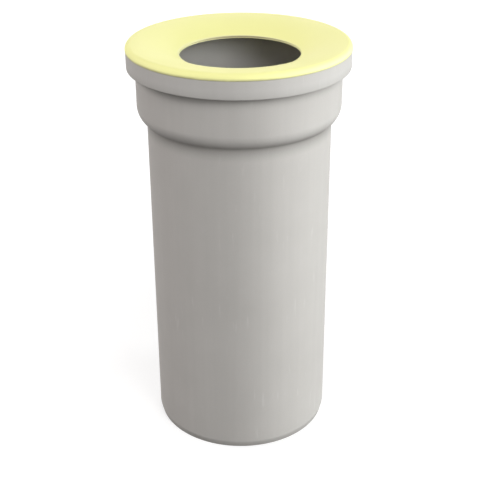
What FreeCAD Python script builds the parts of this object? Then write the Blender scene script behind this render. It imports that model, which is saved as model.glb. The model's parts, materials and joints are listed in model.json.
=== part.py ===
# Straight toilet connector for 110 mm drain pipe, standing on its spigot end.
# It has two pieces: a moulded pipe body with a socket and rim, and a soft seal in the rim.
# Millimetres. The axis is Z. The origin is the centre of the foot, and Z runs up to the seal.
import FreeCAD
import Part
import math
import os

# Overall sizes
total_length = 250.0
pipe_outer_radius = 55.0

# Pipe and its spigot end
pipe_wall = 2.7
spigot_chamfer_height = 4.2
spigot_chamfer_depth = 1.05

# Socket: its bore is the pipe's own size with room for the outlet that enters it
socket_play = 2.75
socket_wall = 3.0
socket_straight_height = 22.15

# Shoulder between pipe and socket, measured on the outside
shoulder_upper_round = 10.6
shoulder_lower_round = 3.25

# Rim round the mouth of the socket
rim_projection = 5.0
rim_height = 10.65
rim_corner_round = 0.95
rim_wall = 2.9
rim_floor = 3.0

# Seal: a cap on the rim, a leg inside the rim, and a membrane that dips from the
# narrow crown of the cap to the lip of a hole
seal_cap_height = 3.9
seal_cap_overhang = 0.2
seal_cap_round = 3.15
seal_crown_width = 0.3
seal_leg_thickness = 3.0
seal_leg_side_clearance = 0.1
seal_leg_end_clearance = 0.3
seal_hole_radius = 35.5
seal_dish_drop = 7.3
seal_membrane_root = 2.4
seal_lip_height = 1.6

# Radii that follow from the sizes above
pipe_bore_radius = pipe_outer_radius - pipe_wall
socket_bore_radius = pipe_outer_radius + socket_play
socket_outer_radius = socket_bore_radius + socket_wall
rim_outer_radius = socket_outer_radius + rim_projection
rim_seat_radius = rim_outer_radius - rim_wall
seal_outer_radius = rim_outer_radius + seal_cap_overhang
seal_leg_outer_radius = rim_seat_radius - seal_leg_side_clearance
seal_leg_inner_radius = seal_leg_outer_radius - seal_leg_thickness
seal_crown_radius = seal_outer_radius - seal_cap_round
seal_dish_start_radius = seal_crown_radius - seal_crown_width
seal_dish_width = seal_dish_start_radius - seal_hole_radius

# Heights that follow from the sizes above
rim_top = total_length - seal_cap_height
rim_bottom = rim_top - rim_height
rim_seat_floor = rim_bottom + rim_floor
shoulder_top = rim_bottom - socket_straight_height
seal_leg_bottom = rim_seat_floor + seal_leg_end_clearance
seal_membrane_bottom = total_length - seal_membrane_root
seal_lip_top = total_length - seal_dish_drop
seal_lip_bottom = seal_lip_top - seal_lip_height


def place(radius, height):
    """A point of the half section: distance from the axis, and height."""
    return FreeCAD.Vector(radius, 0.0, height)


class HalfSection:
    """A closed outline beside the axis, drawn in order with lines and arcs."""

    def __init__(self, radius, height):
        self.start = place(radius, height)
        self.here = self.start
        self.edges = []

    def line_to(self, radius, height):
        """Draw a straight line to a point."""
        end = place(radius, height)
        self.edges.append(Part.makeLine(self.here, end))
        self.here = end

    def arc_about(self, centre_radius, centre_height, turn_degrees):
        """Draw an arc round a centre. A positive turn is from outwards towards upwards."""
        spoke = self.here - place(centre_radius, centre_height)
        ends = []
        for share in (0.5, 1.0):
            angle = math.radians(turn_degrees * share)
            across = spoke.x * math.cos(angle) - spoke.z * math.sin(angle)
            up = spoke.x * math.sin(angle) + spoke.z * math.cos(angle)
            ends.append(place(centre_radius + across, centre_height + up))
        self.edges.append(Part.Arc(self.here, ends[0], ends[1]).toShape())
        self.here = ends[1]

    def turned(self):
        """Close the outline and turn it once round the axis into a solid."""
        self.edges.append(Part.makeLine(self.here, self.start))
        section = Part.Face(Part.Wire(self.edges))
        axis = FreeCAD.Vector(0.0, 0.0, 1.0)
        return section.revolve(FreeCAD.Vector(0.0, 0.0, 0.0), axis, 360.0)


def shoulder_turn(step, lower_round, upper_round):
    """Degrees that each of two tangent arcs turns to lead a wall outwards by a step."""
    return math.degrees(math.acos(1.0 - step / (lower_round + upper_round)))


def shoulder_rise(step, lower_round, upper_round):
    """Height that two tangent arcs take to lead a wall outwards by a step."""
    turn = math.radians(shoulder_turn(step, lower_round, upper_round))
    return (lower_round + upper_round) * math.sin(turn)


def dish_round(width, drop):
    """Radius of an arc that leaves a flat and falls by a drop over a width."""
    return (width ** 2 + drop ** 2) / (2.0 * drop)


def dish_turn(width, drop):
    """Degrees that the arc of a dish turns."""
    return math.degrees(math.asin(width / dish_round(width, drop)))


def draw_outside(outline):
    """Draw the outside of the body from the foot up to the rim's top."""
    foot_radius = pipe_outer_radius - spigot_chamfer_depth
    outline.line_to(foot_radius, 0.0)
    outline.line_to(pipe_outer_radius, spigot_chamfer_height)
    step = socket_outer_radius - pipe_outer_radius
    lower_round = shoulder_lower_round
    upper_round = shoulder_upper_round
    turn = shoulder_turn(step, lower_round, upper_round)
    shoulder_bottom = shoulder_top - shoulder_rise(step, lower_round, upper_round)
    outline.line_to(pipe_outer_radius, shoulder_bottom)
    outline.arc_about(pipe_outer_radius + lower_round, shoulder_bottom, -turn)
    outline.arc_about(socket_outer_radius - upper_round, shoulder_top, turn)
    outline.line_to(socket_outer_radius, rim_bottom)
    outline.line_to(rim_outer_radius - rim_corner_round, rim_bottom)
    outline.arc_about(rim_outer_radius - rim_corner_round, rim_bottom + rim_corner_round, 90.0)
    outline.line_to(rim_outer_radius, rim_top)


def draw_inside(outline):
    """Draw the inside of the body from the rim's top down to the foot."""
    step = socket_bore_radius - pipe_bore_radius
    lower_round = shoulder_lower_round + pipe_wall
    upper_round = shoulder_upper_round - socket_wall
    turn = shoulder_turn(step, lower_round, upper_round)
    shoulder_bottom = shoulder_top - shoulder_rise(step, lower_round, upper_round)
    outline.line_to(rim_seat_radius, rim_top)
    outline.line_to(rim_seat_radius, rim_seat_floor)
    outline.line_to(socket_bore_radius, rim_seat_floor)
    outline.line_to(socket_bore_radius, shoulder_top)
    outline.arc_about(socket_bore_radius - upper_round, shoulder_top, -turn)
    outline.arc_about(pipe_bore_radius + lower_round, shoulder_bottom, turn)


def pipe_body():
    """Pipe, shoulder, socket and rim, moulded as one piece."""
    outline = HalfSection(pipe_bore_radius, 0.0)
    draw_outside(outline)
    draw_inside(outline)
    return outline.turned()


def seal():
    """Soft seal: cap on the rim's top, leg inside the rim, dished membrane with a hole."""
    outline = HalfSection(seal_leg_outer_radius, rim_top)
    outline.line_to(seal_outer_radius, rim_top)
    outline.line_to(seal_outer_radius, total_length - seal_cap_round)
    outline.arc_about(seal_crown_radius, total_length - seal_cap_round, 90.0)
    outline.line_to(seal_dish_start_radius, total_length)
    top_round = dish_round(seal_dish_width, seal_dish_drop)
    top_turn = dish_turn(seal_dish_width, seal_dish_drop)
    outline.arc_about(seal_dish_start_radius, total_length - top_round, top_turn)
    outline.line_to(seal_hole_radius, seal_lip_bottom)
    under_width = seal_leg_inner_radius - seal_hole_radius
    under_drop = seal_membrane_bottom - seal_lip_bottom
    under_round = dish_round(under_width, under_drop)
    under_turn = dish_turn(under_width, under_drop)
    outline.arc_about(seal_leg_inner_radius, seal_membrane_bottom - under_round, -under_turn)
    outline.line_to(seal_leg_inner_radius, seal_leg_bottom)
    outline.line_to(seal_leg_outer_radius, seal_leg_bottom)
    return outline.turned()


def main():
    """Write each piece to its own file."""
    os.makedirs("parts", exist_ok=True)
    pieces = {"pipe_body": pipe_body(), "seal": seal()}
    for name, solid in pieces.items():
        solid.exportStep("parts/" + name + ".step")
        print(name, solid.ShapeType, solid.isValid(), round(solid.Volume, 1), solid.BoundBox)


main()
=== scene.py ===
"""Toilet connector pipe on a white studio floor, laid out as a Blender add-on.

The pipe body and its soft seal are turned surfaces: each is a half section in distance from
the axis and height, carried once round the axis. Everything is in metres, Z up, with the
axis of the pipe on Z and the foot on the floor.
"""
import json
import math

import bpy
import numpy as np
from mathutils import Matrix, Vector


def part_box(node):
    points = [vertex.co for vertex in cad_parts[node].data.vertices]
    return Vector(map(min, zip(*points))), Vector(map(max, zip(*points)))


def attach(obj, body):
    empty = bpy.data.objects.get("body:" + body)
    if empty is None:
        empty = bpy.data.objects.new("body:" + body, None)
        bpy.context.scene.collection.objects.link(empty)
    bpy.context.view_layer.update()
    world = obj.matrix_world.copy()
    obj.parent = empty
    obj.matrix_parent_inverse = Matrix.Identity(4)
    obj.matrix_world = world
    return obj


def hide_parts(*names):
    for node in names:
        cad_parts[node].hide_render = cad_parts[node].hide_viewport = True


bl_info = {
    "name": "Toilet Connector Pipe",
    "version": (1, 0, 0),
    "blender": (4, 5, 0),
    "location": "View3D > Sidebar > Connector",
    "description": "Builds a straight toilet connector pipe, its soft seal and a studio for them",
    "category": "Object",
}

MM = 0.001
SENSOR_WIDTH = 36.0  # millimetres

# Fineness of the meshes: steps round the axis, and the longest step along each outline
TURN_STEPS = 480
BODY_STEP = 0.0045
SEAL_STEP = 0.0015
SAME_PLACE = 1e-7  # points nearer than this are one point
LOWER_ROUND_POINTS = 10
UPPER_ROUND_POINTS = 16

# Softboxes: side, azimuth and elevation in degrees, and the setting that holds the tint
SOFTBOXES = (
    ("right", 90.0, 6.0, "cool_white"),
    ("front", 35.0, 26.0, "cool_white"),
    ("high", 10.0, 50.0, "warm_white"),
    ("low", 0.0, 4.0, "warm_white"),
    ("left", -100.0, 30.0, "warm_white"),
    ("back", 180.0, 26.0, "warm_white"),
)

# Noises and marks, the same in every material
NOISE_MEAN = 0.5
MOTTLE_SHARE, STREAK_SHARE, GRAIN_SHARE = 0.5, 0.25, 0.25  # of each noise in the tone
MOTTLE_HEIGHT = 0.6  # height of the mottling beside the grain's
TONE_CONTRAST = 2.6
STREAK_STRETCH = (1.0, 1.0, 0.03)  # the last number draws a noise out along the axis
SCRATCH_STRETCH = (1.0, 1.0, 0.12)
SCRATCH_FROM, SCRATCH_GAIN = 0.66, 9.0  # only the peaks of the noise are scratches
PATCH_FROM, PATCH_GAIN = 0.45, 5.0  # where scratches gather

# How much of its own tone each mask lets through, from 0 to 1
# The rim's ring is a painted highlight; the foot's edge ring is wear
EDGE_WEAR_AND_HIGHLIGHT_SHOW = 0.3
# The lip's pale ring is a painted highlight; its dark ring and the cap's foot ring are painted
# shade
LIP_HIGHLIGHT_SHOW, LIP_SHADE_SHOW, SEAM_SHADE_SHOW = 0.7, 0.9, 0.8
# Painted shade: how deep the lip's dark ring sits
LIP_SHADE_DEPTH = 0.35  # of the lip's height, below its top
# Painted shade: the dark ring under the shoulder is centred this far out and up
SHOULDER_SHADE_OUT, SHOULDER_SHADE_UP = 0.5 * MM, 1.0 * MM  # from the shoulder's inward round to the soil's middle
FLOOR_MOTTLE = 0.99  # the floor's darker tone beside its white

# Sockets of a Mix node in its colour mode
MIX_FIRST, MIX_SECOND, MIX_RESULT = 6, 7, 2

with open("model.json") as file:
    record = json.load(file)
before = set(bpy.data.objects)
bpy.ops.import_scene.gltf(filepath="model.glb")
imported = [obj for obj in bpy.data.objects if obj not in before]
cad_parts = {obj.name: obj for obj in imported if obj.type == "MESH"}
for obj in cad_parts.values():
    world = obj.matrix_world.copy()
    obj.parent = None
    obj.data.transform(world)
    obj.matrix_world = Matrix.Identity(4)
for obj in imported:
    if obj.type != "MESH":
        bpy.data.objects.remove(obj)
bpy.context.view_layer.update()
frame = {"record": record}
record = frame["record"]
mounts = {mount["name"]: mount for mount in record["mounts"]}


def round_reach(node):
    """Radius of a round node: the least of its reaches from the axis along X and Y."""
    low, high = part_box(node)
    return min(high.x, high.y, -low.x, -low.y)


# Places that the pipe and the seal take from the frame
BODY_LOW, BODY_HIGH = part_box("pipe_body")
SEAL_LOW, SEAL_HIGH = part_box("seal")
FOOT = BODY_LOW.z
RIM_TOP = BODY_HIGH.z
RIM_RADIUS = round_reach("pipe_body")
SEAL_TOP = SEAL_HIGH.z
SEAL_LEG_END = SEAL_LOW.z
SEAL_RADIUS = round_reach("seal")
PIPE_RADIUS = mounts["spigot"]["dims"]["r_mm"] * MM
HOLE_RADIUS = mounts["seal_hole"]["dims"]["r_mm"] * MM
LIP_HEIGHT = mounts["seal_hole"]["dims"]["length_mm"] * MM
LIP_TOP = mounts["seal_hole"]["pos_m"][2] + 0.5 * LIP_HEIGHT


def length(name, text, default):
    """A length that the user may change, in metres."""
    return bpy.props.FloatProperty(
        name=name, description=text, default=default, min=0.0, precision=5, unit="LENGTH")


def shade(name, text, default):
    """A colour that the user may change, in linear light."""
    return bpy.props.FloatVectorProperty(
        name=name, description=text, default=default, size=3, min=0.0, max=1.0, subtype="COLOR")


def share(name, text, default):
    """A share between none and all that the user may change."""
    return bpy.props.FloatProperty(
        name=name, description=text, default=default, min=0.0, max=1.0, subtype="FACTOR")


def power(name, text, default):
    """A lamp's power that the user may change, in watts."""
    return bpy.props.FloatProperty(
        name=name, description=text, default=default, min=0.0, unit="POWER")


def plain(name, text, default):
    """A plain number that the user may change."""
    return bpy.props.FloatProperty(name=name, description=text, default=default, min=0.0)


def angle(name, text, degrees):
    """An angle that the user may change, with its default in degrees."""
    return bpy.props.FloatProperty(
        name=name, description=text, default=math.radians(degrees), subtype="ANGLE")


class PipeBodySettings(bpy.types.PropertyGroup):
    """Sizes and colours of the moulded pipe body."""

    wall: length("Pipe wall", "Wall of the pipe", 0.0027)
    chamfer_height: length("Chamfer height", "Height of the spigot's lead-in chamfer", 0.0042)
    chamfer_depth: length("Chamfer depth", "How far the chamfer cuts in at the foot", 0.00105)
    foot_round: length("Foot rounding", "Rounding of the edges at the foot", 0.0004)
    chamfer_round: length(
        "Chamfer rounding", "Rounding where the chamfer meets the pipe", 0.004)
    socket_play: length(
        "Socket play", "How far the socket's bore stands off the pipe's size", 0.00275)
    socket_wall: length("Socket wall", "Wall of the socket", 0.003)
    socket_straight: length("Socket height", "Straight socket wall below the rim", 0.02215)
    upper_round: length("Upper shoulder round", "Outward round of the shoulder", 0.0106)
    lower_round: length("Lower shoulder round", "Inward round of the shoulder", 0.00325)
    rim_height: length("Rim height", "Height of the rim's outer wall", 0.01065)
    rim_corner: length("Rim corner", "Rounding of the rim's lower corner", 0.00095)
    rim_edge: length("Rim edge", "Rounding of the rim's upper edges", 0.0004)
    rim_wall: length("Rim wall", "Wall of the rim round the seal's leg", 0.0029)
    rim_floor: length("Rim floor", "Floor of the rim under the seal's leg", 0.003)
    under_rim_round: length("Under-rim round", "Fillet where the socket meets the rim", 0.0004)
    grey_light: shade("Light grey", "Lighter tone of the plastic", (0.480, 0.463, 0.443))
    grey_dark: shade("Dark grey", "Darker tone of the plastic", (0.434, 0.417, 0.398))
    # Painted light: a paler tone for the bore, as if more light reached it
    bore_painted_light: shade(
        "Inside grey", "Paler tone painted on the bore, as if more light reached it", (0.592, 0.576, 0.562))
    # Painted highlight: this light tone covers the whole outer wall of the rim, and also edges
    # and scratches rubbed by wear
    worn_and_highlight_grey: shade("Edge grey", "Tone of edges rubbed in handling, also painted over the rim as a highlight", (0.560, 0.552, 0.535))
    # Painted shade: this dark tone stands for the shadow under the rim and the shade under the
    # shoulder; it also darkens the foot
    painted_shade_grey: shade("Painted shade", "Dark tone painted as shade under the rim and the shoulder, also used at the foot", (0.150, 0.142, 0.130))
    under_rim_painted_shade: share("Dust under the rim", "How much shade is painted under the rim", 0.95)
    under_shoulder_painted_shade: share("Dust under the shoulder", "How much shade is painted under the shoulder", 0.75)
    # How much the foot's chamfer is darkened
    foot_darkening: share(
        "Darker foot", "How much darker the foot's chamfer is made", 0.35)
    roughness: share("Roughness", "Roughness of the moulded surface", 0.62)


class SealSettings(bpy.types.PropertyGroup):
    """Sizes and colours of the soft seal."""

    cap_round: length("Cap rounding", "Rounding of the cap's upper edge", 0.0031)
    cap_foot_round: length("Cap foot rounding", "Rounding of the cap's lower edge", 0.0003)
    crown_width: length("Crown width", "Flat crown between edge and dish", 0.0003)
    leg_clearance: length("Leg clearance", "Gap between the leg and the rim", 0.0001)
    leg_thickness: length("Leg thickness", "Thickness of the leg inside the rim", 0.003)
    membrane_root: length("Membrane root", "Thickness of the membrane at the leg", 0.0024)
    lip_round: length("Lip rounding", "Rounding of the lip's two edges", 0.0002)
    hole_drift: length(
        "Hole drift", "How far the soft membrane lets its hole sit off the axis", 0.0008)
    yellow_light: shade("Light yellow", "Lighter tone of the elastomer", (0.978, 0.970, 0.428))
    yellow_dark: shade("Dark yellow", "Darker tone of the elastomer", (0.958, 0.943, 0.408))
    # Painted highlight: a pale tone on the lip's end and the dish's edge beside it
    lip_painted_highlight: shade(
        "Lip pale", "Pale tone painted on the lip as a highlight", (0.950, 0.920, 0.640))
    # Painted shade: a dark tone on the upper part of the lip's end wall
    lip_painted_shade: shade(
        "Lip dull", "Dark tone painted round the end of the lip as shade", (0.360, 0.300, 0.180))
    # Painted shade: a dark tone on the lower part of the cap's rounding, next to the rim
    seam_painted_shade: shade("Seam", "Dark tone painted at the cap's foot as shade", (0.260, 0.235, 0.170))
    roughness: share("Roughness", "Roughness of the elastomer", 0.55)


class StageSettings(bpy.types.PropertyGroup):
    """Floor, light and camera of the studio."""

    floor_size: length("Floor size", "Side of the square floor", 6.0)
    floor_white: shade("Floor", "Colour of the floor", (0.45, 0.45, 0.45))
    floor_glow: plain(
        "Floor glow", "White added to the floor near the pipe, as the camera sees it", 0.62)
    far_glow: plain(
        "Far floor glow", "White added where the lamps hardly reach the floor", 0.95)
    floor_fade: length(
        "Floor fade", "Distance from the axis at which the far glow is reached", 1.6)
    room_light: plain("Room light", "Strength of the even light of the room", 0.2)
    room_white: shade("Room", "Colour of the room's light", (1.0, 0.99, 0.98))
    warm_white: shade(
        "Warm white", "Colour of the high, low, left and back softboxes", (1.0, 0.965, 0.955))
    cool_white: shade(
        "Cool white", "Colour of the right and front softboxes", (0.97, 1.0, 1.0))
    right_power: power("Right softbox", "Power of the low softbox on the right", 14.8)
    front_power: power("Front softbox", "Power of the softbox in front, on the right", 7.3)
    high_power: power("High softbox", "Power of the high softbox in front", 4.0)
    low_power: power("Low softbox", "Power of the low softbox in front", 0.8)
    left_power: power("Left softbox", "Power of the softbox on the left, behind", 8.4)
    back_power: power("Back softbox", "Power of the softbox behind", 3.0)
    softbox_size: length("Softbox size", "Side of each square softbox", 0.6)
    softbox_distance: length(
        "Softbox distance", "How far the softboxes stand from the pipe", 1.3)
    focal_length: plain(
        "Focal length", "Focal length in millimetres on a 36 mm sensor", 77.46)
    camera_distance: length(
        "Camera distance", "Distance of the camera in front of the axis", 0.5859)
    camera_height: length("Camera height", "Height of the camera above the floor", 0.4141)
    camera_left: length("Camera left", "How far the camera stands left of the axis", 0.0002)
    camera_pitch: angle("Camera pitch", "How far the camera looks down", 26.612)
    camera_roll: angle(
        "Camera roll", "How far the camera is turned about its own view", -0.48)


# Outlines: arrays of points, each a distance from the axis and a height

def arc(centre, radius, first_degrees, last_degrees, count):
    """Points on a circle, centre + radius * (cos a, sin a) for angles a between the two."""
    a = np.radians(np.linspace(first_degrees, last_degrees, count))
    return np.asarray(centre) + radius * np.stack([np.cos(a), np.sin(a)], axis=1)


def rounded(corner, before, after, radius, count=6):
    """A corner between two straight walls, rounded by an arc that touches both.

    The arc starts radius / tan(half the corner's angle) along each wall from the corner, and
    its points are centre + radius * (cos a, sin a) between the two touching points.
    """
    corner = np.asarray(corner, float)
    to_before = np.asarray(before) - corner
    to_after = np.asarray(after) - corner
    to_before = to_before / np.linalg.norm(to_before)
    to_after = to_after / np.linalg.norm(to_after)
    half = 0.5 * math.acos(np.clip(to_before @ to_after, -1.0, 1.0))
    inward = (to_before + to_after) / np.linalg.norm(to_before + to_after)
    centre = corner + inward * radius / math.sin(half)
    start = corner + to_before * radius / math.tan(half) - centre
    end = corner + to_after * radius / math.tan(half) - centre
    first = math.atan2(start[1], start[0])
    turn = math.atan2(end[1], end[0]) - first
    turn = (turn + math.pi) % (2.0 * math.pi) - math.pi
    return arc(centre, radius, math.degrees(first), math.degrees(first + turn), count)


def filled(points, longest):
    """The closed outline with points added, so that no two neighbours are over longest apart.

    Each side of the outline is cut into ceil(side / longest) equal steps.
    """
    following = np.roll(points, -1, axis=0)
    sides = np.linalg.norm(following - points, axis=1)
    keep = sides > SAME_PLACE
    points, following, sides = points[keep], following[keep], sides[keep]
    counts = np.maximum(1, np.ceil(sides / longest)).astype(int)
    side = np.repeat(np.arange(len(points)), counts)
    step = np.arange(counts.sum()) - np.repeat(np.cumsum(counts) - counts, counts)
    t = (step / counts[side])[:, None]
    return points[side] + t * (following[side] - points[side])


def shoulder(lower_radius, upper_radius, lower_round, upper_round, top):
    """Two arcs that meet in a tangent and lead a wall outwards as it rises.

    Each turns by acos(1 - step / (sum of the two radii)), where step is how far the wall moves
    out, and together they rise by the sum of the radii times the sine of that angle.
    """
    both = lower_round + upper_round
    turn = math.degrees(math.acos(1.0 - (upper_radius - lower_radius) / both))
    rise = both * math.sin(math.radians(turn))
    low = arc(
        (lower_radius + lower_round, top - rise), lower_round, 180.0, 180.0 - turn,
        LOWER_ROUND_POINTS)
    high = arc(
        (upper_radius - upper_round, top), upper_round, -turn, 0.0, UPPER_ROUND_POINTS)
    return np.concatenate([low, high[1:]])


def turned(name, outline, shift=None):
    """A closed outline carried once round the axis, with nothing below the foot.

    Point (i, j) is (r_j * cos a_i, r_j * sin a_i, z_j), where a_i is the i-th of equal steps
    round the axis and (r_j, z_j) the j-th point of the outline. shift moves the grid by an
    array of the same shape.
    """
    a = 2.0 * math.pi * np.arange(TURN_STEPS) / TURN_STEPS
    r, z = outline[:, 0], np.maximum(outline[:, 1], FOOT)
    grid = np.stack([
        np.outer(np.cos(a), r),
        np.outer(np.sin(a), r),
        np.broadcast_to(z, (TURN_STEPS, len(z)))], axis=2)
    if shift is not None:
        grid = grid + shift(grid)
    i, j = np.meshgrid(np.arange(TURN_STEPS), np.arange(len(r)), indexing="ij")
    i_next, j_next = (i + 1) % TURN_STEPS, (j + 1) % len(r)
    quads = np.stack([
        i * len(r) + j, i_next * len(r) + j,
        i_next * len(r) + j_next, i * len(r) + j_next], axis=2).reshape(-1, 4)
    return mesh_object(name, grid.reshape(-1, 3), quads)


def mesh_object(name, points, quads):
    """A smooth mesh of four-sided faces, written whole from two arrays."""
    mesh = bpy.data.meshes.new(name)
    mesh.vertices.add(len(points))
    mesh.vertices.foreach_set("co", points.astype(np.float32).ravel())
    mesh.loops.add(quads.size)
    mesh.loops.foreach_set("vertex_index", quads.astype(np.int32).ravel())
    mesh.polygons.add(len(quads))
    mesh.polygons.foreach_set("loop_start", np.arange(0, quads.size, 4, dtype=np.int32))
    mesh.polygons.foreach_set("use_smooth", np.ones(len(quads), dtype=bool))
    mesh.update(calc_edges=True)
    mesh.validate()
    piece = bpy.data.objects.new(name, mesh)
    bpy.context.scene.collection.objects.link(piece)
    return piece


def socket_places(settings):
    """Outer radius of the socket, and the heights where the rim and the straight socket begin."""
    s = settings
    rim_bottom = RIM_TOP - s.rim_height
    return PIPE_RADIUS + s.socket_play + s.socket_wall, rim_bottom, rim_bottom - s.socket_straight


def body_outline(settings):
    """Half section of the pipe body, drawn foot, outside, rim, inside, and back to the foot."""
    s = settings
    bore = PIPE_RADIUS - s.wall
    socket_bore = PIPE_RADIUS + s.socket_play
    socket, rim_bottom, top = socket_places(s)
    seat = RIM_RADIUS - s.rim_wall
    seat_floor = rim_bottom + s.rim_floor
    foot_outer = PIPE_RADIUS - s.chamfer_depth
    chamfer_top = FOOT + s.chamfer_height
    outside = shoulder(PIPE_RADIUS, socket, s.lower_round, s.upper_round, top)
    inside = shoulder(
        bore, socket_bore, s.lower_round + s.wall, s.upper_round - s.socket_wall, top)
    return np.concatenate([
        rounded((bore, FOOT), (bore, top), (foot_outer, FOOT), s.foot_round),
        rounded((foot_outer, FOOT), (bore, FOOT), (PIPE_RADIUS, chamfer_top), s.foot_round),
        rounded((PIPE_RADIUS, chamfer_top), (foot_outer, FOOT), (PIPE_RADIUS, top),
                s.chamfer_round),
        outside,
        rounded((socket, rim_bottom), (socket, top), (RIM_RADIUS, rim_bottom),
                s.under_rim_round),
        rounded((RIM_RADIUS, rim_bottom), (socket, rim_bottom), (RIM_RADIUS, RIM_TOP),
                s.rim_corner, count=10),
        rounded((RIM_RADIUS, RIM_TOP), (RIM_RADIUS, rim_bottom), (seat, RIM_TOP), s.rim_edge),
        rounded((seat, RIM_TOP), (RIM_RADIUS, RIM_TOP), (seat, seat_floor), s.rim_edge),
        rounded((seat, seat_floor), (seat, RIM_TOP), (socket_bore, seat_floor), s.rim_edge),
        rounded((socket_bore, seat_floor), (seat, seat_floor), (socket_bore, top), s.rim_edge),
        inside[::-1],
    ])


def leg_walls(settings):
    """Outer and inner radius of the seal's leg, which stands clear of the rim's wall."""
    outer = RIM_RADIUS - bpy.context.scene.connector_body.rim_wall - settings.leg_clearance
    return outer, outer - settings.leg_thickness


def seal_outline(settings):
    """Half section of the seal: cap, dish, lip, underside of the membrane, and leg."""
    s = settings
    crown = SEAL_RADIUS - s.cap_round
    dish_start = crown - s.crown_width
    leg_outer, leg_inner = leg_walls(s)
    cap_side = (SEAL_RADIUS, SEAL_TOP - s.cap_round)
    dish = dip(dish_start, SEAL_TOP, HOLE_RADIUS, LIP_TOP, count=28)
    under = dip(
        leg_inner, SEAL_TOP - s.membrane_root, HOLE_RADIUS, LIP_TOP - LIP_HEIGHT, count=20)
    return np.concatenate([
        rounded(
            (SEAL_RADIUS, RIM_TOP), (leg_outer, RIM_TOP), cap_side, s.cap_foot_round, count=8),
        arc((crown, SEAL_TOP - s.cap_round), s.cap_round, 0.0, 90.0, count=18),
        dish[:-1],
        rounded(dish[-1], dish[-2], under[-1], s.lip_round),
        rounded(under[-1], dish[-1], under[-2], s.lip_round),
        under[:-1][::-1],
        [(leg_inner, SEAL_LEG_END), (leg_outer, SEAL_LEG_END), (leg_outer, RIM_TOP)],
    ])


def drift(grid, settings):
    """Move the membrane sideways, nothing at the leg and the whole drift at the lip.

    With t = (leg's inner radius - r) / (leg's inner radius - hole's radius), kept from 0 to 1,
    a point moves along X by drift * t * t * (3 - 2 * t).
    """
    root = leg_walls(settings)[1]
    r = np.hypot(grid[:, :, 0], grid[:, :, 1])
    t = np.clip((root - r) / (root - HOLE_RADIUS), 0.0, 1.0)
    moved = np.zeros_like(grid)
    moved[:, :, 0] = settings.hole_drift * t * t * (3.0 - 2.0 * t)
    return moved


def dip(start_radius, start_height, end_radius, end_height, count):
    """A single arc that leaves a level surface inwards and falls to an end point.

    With w the way inwards and d the fall, its radius is (w * w + d * d) / (2 * d).
    """
    width = start_radius - end_radius
    drop = start_height - end_height
    radius = (width ** 2 + drop ** 2) / (2.0 * drop)
    turn = math.degrees(math.asin(width / radius))
    return arc((start_radius, start_height - radius), radius, 90.0, 90.0 + turn, count)


# Node building

def feed(tree, value, socket):
    """Link a socket into another one, or set a plain value on it."""
    if isinstance(value, bpy.types.NodeSocket):
        tree.links.new(value, socket)
    else:
        socket.default_value = value


def maths(tree, operation, first, second=None, clamp=False):
    """The result socket of a maths node on sockets or plain numbers."""
    new = tree.nodes.new("ShaderNodeMath")
    new.operation = operation
    new.use_clamp = clamp
    for value, socket in zip((first, second), new.inputs):
        if value is not None:
            feed(tree, value, socket)
    return new.outputs[0]


def plus(tree, first, second, clamp=False):
    """First + second."""
    return maths(tree, "ADD", first, second, clamp)


def minus(tree, first, second, clamp=False):
    """First - second."""
    return maths(tree, "SUBTRACT", first, second, clamp)


def times(tree, first, second, clamp=False):
    """First * second."""
    return maths(tree, "MULTIPLY", first, second, clamp)


def above(tree, value, threshold, gain):
    """How far a value is above a threshold, times a gain, kept from 0 to 1."""
    return times(tree, minus(tree, value, threshold), gain, clamp=True)


def noise(tree, vector, scale, detail, rough):
    """The value socket of a noise texture on a vector; scale is a socket or a number."""
    new = tree.nodes.new("ShaderNodeTexNoise")
    tree.links.new(vector, new.inputs["Vector"])
    feed(tree, scale, new.inputs["Scale"])
    new.inputs["Detail"].default_value = detail
    new.inputs["Roughness"].default_value = rough
    return new.outputs["Fac"]


def stretched(tree, vector, scale):
    """A vector scaled by three plain numbers."""
    new = tree.nodes.new("ShaderNodeVectorMath")
    new.operation = "MULTIPLY"
    tree.links.new(vector, new.inputs[0])
    new.inputs[1].default_value = scale
    return new.outputs[0]


def off_axis(tree, vector):
    """Distance of a place from the upright axis."""
    reach = tree.nodes.new("ShaderNodeVectorMath")
    reach.operation = "LENGTH"
    tree.links.new(stretched(tree, vector, (1.0, 1.0, 0.0)), reach.inputs[0])
    return reach.outputs["Value"]


def height_of(tree, vector):
    """Height of a place."""
    split = tree.nodes.new("ShaderNodeSeparateXYZ")
    tree.links.new(vector, split.inputs[0])
    return split.outputs["Z"]


def blended(tree, factor, first, second):
    """The result socket of a colour mix; first and second are sockets or plain colours."""
    new = tree.nodes.new("ShaderNodeMix")
    new.data_type = "RGBA"
    tree.links.new(factor, new.inputs["Factor"])
    for value, index in ((first, MIX_FIRST), (second, MIX_SECOND)):
        plain_colour = not isinstance(value, bpy.types.NodeSocket)
        feed(tree, (*value, 1.0) if plain_colour else value, new.inputs[index])
    return new.outputs[MIX_RESULT]


# Node groups, each built once and placed in both materials

def new_group(name, inputs, outputs):
    """An empty node group from a vector and numbers to numbers, with its two ends' sockets."""
    tree = bpy.data.node_groups.new(name, "ShaderNodeTree")
    tree.interface.new_socket("Vector", in_out="INPUT", socket_type="NodeSocketVector")
    for way, names in (("INPUT", inputs), ("OUTPUT", outputs)):
        for socket in names:
            tree.interface.new_socket(socket, in_out=way, socket_type="NodeSocketFloat")
    start, end = tree.nodes.new("NodeGroupInput"), tree.nodes.new("NodeGroupOutput")
    return tree, start.outputs, end.inputs


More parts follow.
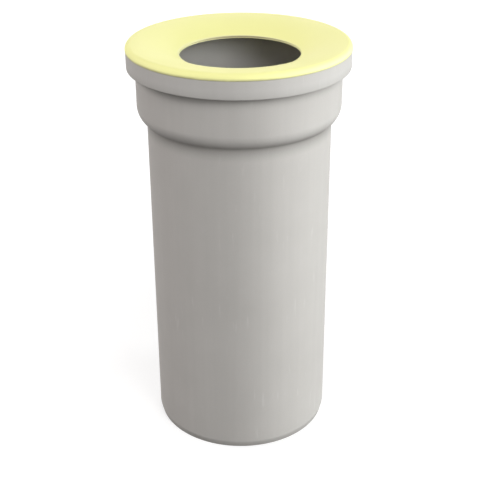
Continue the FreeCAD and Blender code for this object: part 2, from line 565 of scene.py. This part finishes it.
def grain_group():
    """Moulded surface: tone and height from broad mottling, drawn streaks and fine grain.

    The tone is 0.5 plus a contrast times (the noises, each times its share, less 0.5), kept
    from 0 to 1. The height is the grain plus some of the mottling.
    """
    name = "Moulded Grain"
    if name in bpy.data.node_groups:
        return bpy.data.node_groups[name]
    tree, start, end = new_group(
        name, ("Mottle Scale", "Streak Scale", "Grain Scale"), ("Tone", "Height"))
    along = stretched(tree, start["Vector"], STREAK_STRETCH)
    mottle = noise(tree, start["Vector"], start["Mottle Scale"], detail=4.0, rough=0.55)
    streak = noise(tree, along, start["Streak Scale"], detail=2.0, rough=0.5)
    grain = noise(tree, start["Vector"], start["Grain Scale"], detail=3.0, rough=0.6)
    tone = plus(tree, times(tree, mottle, MOTTLE_SHARE), times(tree, streak, STREAK_SHARE))
    tone = plus(tree, tone, times(tree, grain, GRAIN_SHARE))
    tone = times(tree, minus(tree, tone, NOISE_MEAN), TONE_CONTRAST)
    tree.links.new(plus(tree, tone, NOISE_MEAN, clamp=True), end["Tone"])
    tree.links.new(plus(tree, grain, times(tree, mottle, MOTTLE_HEIGHT)), end["Height"])
    return tree


def ring_group():
    """A soft ring round the axis: 1 on a circle, falling to 0 at a reach from it.

    With r the distance from the axis, the mask is 1 - |(r, z) - (Radius, Height)| / Reach, not
    less than 0, to the power of Softness, and made uneven by a noise.
    """
    name = "Ring Mask"
    if name in bpy.data.node_groups:
        return bpy.data.node_groups[name]
    tree, start, end = new_group(
        name, ("Radius", "Height", "Reach", "Softness", "Unevenness"), ("Mask",))
    out = minus(tree, off_axis(tree, start["Vector"]), start["Radius"])
    rise = minus(tree, height_of(tree, start["Vector"]), start["Height"])
    away = maths(tree, "SQRT", plus(tree, times(tree, out, out), times(tree, rise, rise)))
    near = minus(tree, 1.0, maths(tree, "DIVIDE", away, start["Reach"]), clamp=True)
    near = maths(tree, "POWER", near, start["Softness"])
    patch = noise(tree, start["Vector"], scale=85.0, detail=3.0, rough=0.6)
    patch = times(tree, minus(tree, patch, NOISE_MEAN), start["Unevenness"])
    tree.links.new(times(tree, near, plus(tree, 1.0, patch), clamp=True), end["Mask"])
    return tree


def scuff_group():
    """Handling marks: sparse short scratches and specks, as a mask."""
    name = "Handling Marks"
    if name in bpy.data.node_groups:
        return bpy.data.node_groups[name]
    tree, start, end = new_group(name, ("Scale", "Amount"), ("Mask",))
    along = stretched(tree, start["Vector"], SCRATCH_STRETCH)
    scratch = noise(tree, along, start["Scale"], detail=2.0, rough=0.4)
    scratch = above(tree, scratch, SCRATCH_FROM, SCRATCH_GAIN)
    patch = noise(tree, start["Vector"], scale=22.0, detail=2.0, rough=0.5)
    mask = times(tree, scratch, above(tree, patch, PATCH_FROM, PATCH_GAIN))
    tree.links.new(times(tree, mask, start["Amount"], clamp=True), end["Mask"])
    return tree


def placed(tree, group, vector, **values):
    """The outputs of a group placed in a material, reading a vector, with its own values."""
    new = tree.nodes.new("ShaderNodeGroup")
    new.node_tree = group
    tree.links.new(vector, new.inputs["Vector"])
    for key, value in values.items():
        new.inputs[key.replace("_", " ").title()].default_value = value
    return new.outputs


def ring(tree, vector, **values):
    """The mask of a soft ring placed in a material."""
    return placed(tree, ring_group(), vector, **values)["Mask"]


# Materials

def new_material(name):
    """A material with its shader and its object coordinates."""
    material = bpy.data.materials.new(name)
    material.use_nodes = True
    tree = material.node_tree
    shader = tree.nodes["Principled BSDF"]
    place = tree.nodes.new("ShaderNodeTexCoord").outputs["Object"]
    return material, tree, shader, place


def tinted(tree, colour, *tints):
    """A colour with tints laid over it in order, each as (mask, amount, tint)."""
    for mask, amount, tint in tints:
        colour = blended(tree, times(tree, mask, amount), colour, tint)
    return colour


def finished(tree, shader, grain, marks, roughness, swing, polish, specular, relief):
    """Roughness, gloss and relief from the grain and the marks of a material.

    The roughness is roughness + swing * (tone - 0.5) - polish * marks, and relief is the
    depth of the grain in metres.
    """
    rough = times(tree, minus(tree, grain["Tone"], NOISE_MEAN), swing)
    rough = plus(tree, rough, times(tree, marks["Mask"], -polish))
    tree.links.new(plus(tree, rough, roughness), shader.inputs["Roughness"])
    shader.inputs["Specular IOR Level"].default_value = specular
    bump = tree.nodes.new("ShaderNodeBump")
    bump.inputs["Distance"].default_value = relief
    bump.inputs["Strength"].default_value = 1.0
    tree.links.new(grain["Height"], bump.inputs["Height"])
    tree.links.new(bump.outputs["Normal"], shader.inputs["Normal"])


def plastic_material(settings):
    """Satin grey moulded plastic: mottled and rubbed at its edges, with a painted highlight on
    the rim, painted shade under the rim and the shoulder, and darker at the foot.
    """
    s = settings
    material, tree, shader, place = new_material("satin_grey_plastic")
    grain = placed(
        tree, grain_group(), place, mottle_scale=26.0, streak_scale=210.0, grain_scale=1500.0)
    marks = placed(tree, scuff_group(), place, scale=420.0, amount=0.5)
    socket, rim_bottom, top = socket_places(s)
    curve = shoulder(PIPE_RADIUS, socket, s.lower_round, s.upper_round, top)
    hollow_radius, hollow_height = curve[LOWER_ROUND_POINTS // 2]
    # Painted highlight: this wide ring lightens the rim's outer wall as if it caught more light
    rim_edge = ring(
        tree, place, radius=RIM_RADIUS, height=RIM_TOP - 0.5 * s.rim_height,
        reach=0.0075, softness=0.6, unevenness=0.3)
    foot_edge = ring(
        tree, place, radius=PIPE_RADIUS, height=FOOT + s.chamfer_height,
        reach=0.0012, softness=1.0, unevenness=1.2)
    # Painted shadow: a dark ring under the rim, where the rim casts its shadow
    under_rim = ring(
        tree, place, radius=socket, height=rim_bottom,
        reach=0.008, softness=2.2, unevenness=0.3)
    # Painted shade: a dark ring in the hollow under the shoulder
    under_shoulder = ring(
        tree, place, radius=hollow_radius + SHOULDER_SHADE_OUT, height=hollow_height + SHOULDER_SHADE_UP,
        reach=0.0095, softness=1.5, unevenness=0.25)
    # Darker at the foot: a dark ring round the foot's chamfer
    at_foot = ring(
        tree, place, radius=PIPE_RADIUS, height=FOOT,
        reach=0.005, softness=0.8, unevenness=0.6)
    # Painted light: the bore inside this limit is painted paler, as if more light reached it.
    # Inside is nearer the axis than the middle of the wall, which is wider above the shoulder
    over = maths(tree, "GREATER_THAN", height_of(tree, place), top)
    limit = times(tree, over, s.socket_play + s.socket_wall)
    limit = plus(tree, limit, PIPE_RADIUS - 0.5 * s.wall)
    inner = maths(tree, "LESS_THAN", off_axis(tree, place), limit)
    edges = times(tree, plus(tree, rim_edge, foot_edge, clamp=True), EDGE_WEAR_AND_HIGHLIGHT_SHOW)
    colour = blended(tree, grain["Tone"], s.grey_dark, s.grey_light)
    colour = blended(tree, inner, colour, s.bore_painted_light)
    colour = blended(tree, plus(tree, edges, marks["Mask"], clamp=True), colour, s.worn_and_highlight_grey)
    # Painted shade under the rim and the shoulder, and a darker foot, laid over the colour
    colour = tinted(
        tree, colour,
        (under_rim, s.under_rim_painted_shade, s.painted_shade_grey),
        (under_shoulder, s.under_shoulder_painted_shade, s.painted_shade_grey),
        (at_foot, s.foot_darkening, s.painted_shade_grey))
    tree.links.new(colour, shader.inputs["Base Color"])
    finished(
        tree, shader, grain, marks, s.roughness,
        swing=0.10, polish=0.12, specular=0.05, relief=0.00004)
    return material


def elastomer_material(settings):
    """Soft yellow elastomer: fine matt grain, a painted highlight on the lip, and painted shade
    round the lip's end and at the cap's foot.
    """
    s = settings
    material, tree, shader, place = new_material("soft_yellow_elastomer")
    grain = placed(
        tree, grain_group(), place, mottle_scale=34.0, streak_scale=60.0, grain_scale=2100.0)
    marks = placed(tree, scuff_group(), place, scale=300.0, amount=0.35)
    # Painted highlight: a pale ring on the lip's end and the edge of the dish beside it
    lip = ring(
        tree, place, radius=HOLE_RADIUS, height=LIP_TOP - 0.5 * LIP_HEIGHT,
        reach=0.0014, softness=0.4, unevenness=0.3)
    # Painted shade: a dark ring on the upper part of the lip's end wall
    lip_shade_ring = ring(
        tree, place, radius=HOLE_RADIUS, height=LIP_TOP - LIP_SHADE_DEPTH * LIP_HEIGHT,
        reach=0.0007, softness=0.4, unevenness=0.3)
    # Painted shade: a dark ring on the cap's foot, where its rounding meets the rim
    cap_foot_shade = ring(
        tree, place, radius=SEAL_RADIUS, height=RIM_TOP,
        reach=0.0016, softness=1.2, unevenness=0.9)
    colour = blended(tree, grain["Tone"], s.yellow_dark, s.yellow_light)
    colour = tinted(
        tree, colour,
        (lip, LIP_HIGHLIGHT_SHOW, s.lip_painted_highlight),
        (lip_shade_ring, LIP_SHADE_SHOW, s.lip_painted_shade),
        (cap_foot_shade, SEAM_SHADE_SHOW, s.seam_painted_shade))
    tree.links.new(colour, shader.inputs["Base Color"])
    finished(
        tree, shader, grain, marks, s.roughness,
        swing=0.12, polish=0.15, specular=0.15, relief=0.00003)
    return material


def seen_rays(tree):
    """1 for rays of the camera, of gloss and of glass, which see the white background."""
    path = tree.nodes.new("ShaderNodeLightPath").outputs
    seen = plus(tree, path["Is Camera Ray"], path["Is Glossy Ray"])
    return plus(tree, seen, path["Is Transmission Ray"], clamp=True)


def floor_material(settings):
    """Matt white floor, with a white glow for the camera so that only shadow shows on it.

    The glow is near + (far - near) * (distance from the axis / fade), the last kept below 1.
    """
    material, tree, shader, place = new_material("white_floor")
    shader.inputs["Roughness"].default_value = 0.9
    shader.inputs["Specular IOR Level"].default_value = 0.1
    white = settings.floor_white
    off_white = [FLOOR_MOTTLE * channel for channel in white]
    faint = noise(tree, place, scale=3.0, detail=2.0, rough=0.5)
    tree.links.new(blended(tree, faint, off_white, white), shader.inputs["Base Color"])
    far = maths(tree, "DIVIDE", off_axis(tree, place), settings.floor_fade, clamp=True)
    glow = times(tree, far, settings.far_glow - settings.floor_glow)
    glow = times(tree, seen_rays(tree), plus(tree, glow, settings.floor_glow))
    shader.inputs["Emission Color"].default_value = (1.0, 1.0, 1.0, 1.0)
    tree.links.new(glow, shader.inputs["Emission Strength"])
    return material


# The studio

def softbox(side, azimuth, elevation, tint, settings):
    """A square area lamp that looks at the middle of the pipe.

    Its place is the middle plus the distance times (cos e * sin a, -cos e * cos a, sin e), with
    the azimuth a counted from the front towards the right and the elevation e from level.
    """
    name = side + "_softbox"
    lamp = bpy.data.lights.new(name, "AREA")
    lamp.shape = "SQUARE"
    lamp.size = settings.softbox_size
    lamp.energy = getattr(settings, side + "_power")
    lamp.color = tint
    a, e = math.radians(azimuth), math.radians(elevation)
    away = Vector((math.cos(e) * math.sin(a), -math.cos(e) * math.cos(a), math.sin(e)))
    holder = bpy.data.objects.new(name, lamp)
    holder.location = Vector((0.0, 0.0, 0.5 * SEAL_TOP)) + settings.softbox_distance * away
    holder.rotation_euler = away.to_track_quat("Z", "Y").to_euler()
    bpy.context.scene.collection.objects.link(holder)


def room(settings):
    """Even light from all round, with white where the camera looks past the floor."""
    world = bpy.data.worlds.new("white_room")
    bpy.context.scene.world = world
    world.use_nodes = True
    tree = world.node_tree
    light = tree.nodes["Background"]
    light.inputs["Color"].default_value = (*settings.room_white, 1.0)
    light.inputs["Strength"].default_value = settings.room_light
    white = tree.nodes.new("ShaderNodeBackground")
    white.inputs["Color"].default_value = (1.0, 1.0, 1.0, 1.0)
    mix = tree.nodes.new("ShaderNodeMixShader")
    tree.links.new(seen_rays(tree), mix.inputs[0])
    tree.links.new(light.outputs[0], mix.inputs[1])
    tree.links.new(white.outputs[0], mix.inputs[2])
    tree.links.new(mix.outputs[0], tree.nodes["World Output"].inputs["Surface"])


def stage_camera(settings):
    """The camera in front of the pipe, looking down at it."""
    s = settings
    lens = bpy.data.cameras.new("camera")
    lens.sensor_width = SENSOR_WIDTH
    lens.lens = s.focal_length
    camera = bpy.data.objects.new("camera", lens)
    look = Matrix.Rotation(0.5 * math.pi - s.camera_pitch, 4, "X")
    camera.matrix_world = (
        Matrix.Translation((-s.camera_left, -s.camera_distance, s.camera_height))
        @ look @ Matrix.Rotation(s.camera_roll, 4, "Z"))
    bpy.context.scene.collection.objects.link(camera)
    bpy.context.scene.camera = camera


class CONNECTOR_OT_pipe_body(bpy.types.Operator):
    """Build the moulded pipe body: spigot, shoulder, socket and rim in one piece"""

    bl_idname = "connector.pipe_body"
    bl_label = "Build pipe body"

    def execute(self, context):
        settings = context.scene.connector_body
        outline = filled(body_outline(settings), BODY_STEP)
        piece = turned("moulded_pipe_body", outline)
        piece.data.materials.append(plastic_material(settings))
        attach(piece, "root")
        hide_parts("pipe_body")
        return {"FINISHED"}


class CONNECTOR_OT_seal(bpy.types.Operator):
    """Build the soft seal: cap, dished membrane with its hole, and leg"""

    bl_idname = "connector.seal"
    bl_label = "Build seal"

    def execute(self, context):
        settings = context.scene.connector_seal
        outline = filled(seal_outline(settings), SEAL_STEP)
        piece = turned("soft_lip_seal", outline, lambda grid: drift(grid, settings))
        piece.data.materials.append(elastomer_material(settings))
        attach(piece, "root")
        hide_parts("seal")
        return {"FINISHED"}


class CONNECTOR_OT_stage(bpy.types.Operator):
    """Build the white floor, the softboxes, the room's light and the camera"""

    bl_idname = "connector.stage"
    bl_label = "Build stage"

    def execute(self, context):
        settings = context.scene.connector_stage
        half = 0.5 * settings.floor_size
        corners = np.array([
            (-half, -half, FOOT), (half, -half, FOOT), (half, half, FOOT), (-half, half, FOOT)])
        floor = mesh_object("floor", corners, np.array([[0, 1, 2, 3]]))
        floor.data.materials.append(floor_material(settings))
        for side, azimuth, elevation, tint in SOFTBOXES:
            softbox(side, azimuth, elevation, getattr(settings, tint), settings)
        room(settings)
        stage_camera(settings)
        context.scene.view_settings.view_transform = "Standard"
        return {"FINISHED"}


class CONNECTOR_PT_panel(bpy.types.Panel):
    """Lists the connector's pieces and its stage."""

    bl_label = "Toilet connector"
    bl_idname = "CONNECTOR_PT_panel"
    bl_space_type = "VIEW_3D"
    bl_region_type = "UI"
    bl_category = "Connector"

    def draw(self, context):
        for operator, name, _ in SECTIONS:
            box = self.layout.box()
            box.operator(operator.bl_idname)
            settings = getattr(context.scene, name)
            for key in settings.__annotations__:
                box.prop(settings, key)


# Each operator with the name and the kind of its settings
SECTIONS = (
    (CONNECTOR_OT_pipe_body, "connector_body", PipeBodySettings),
    (CONNECTOR_OT_seal, "connector_seal", SealSettings),
    (CONNECTOR_OT_stage, "connector_stage", StageSettings),
)


def register():
    """Register the settings, the operators and the panel."""
    for operator, name, group in SECTIONS:
        bpy.utils.register_class(group)
        setattr(bpy.types.Scene, name, bpy.props.PointerProperty(type=group))
        bpy.utils.register_class(operator)
    bpy.utils.register_class(CONNECTOR_PT_panel)


def unregister():
    """Remove the panel, the operators and the settings."""
    bpy.utils.unregister_class(CONNECTOR_PT_panel)
    for operator, name, group in SECTIONS:
        bpy.utils.unregister_class(operator)
        delattr(bpy.types.Scene, name)
        bpy.utils.unregister_class(group)


def main():
    """Build the pieces and the stage in order."""
    register()
    bpy.ops.connector.pipe_body()
    bpy.ops.connector.seal()
    bpy.ops.connector.stage()


if __name__ == "__main__":
    main()
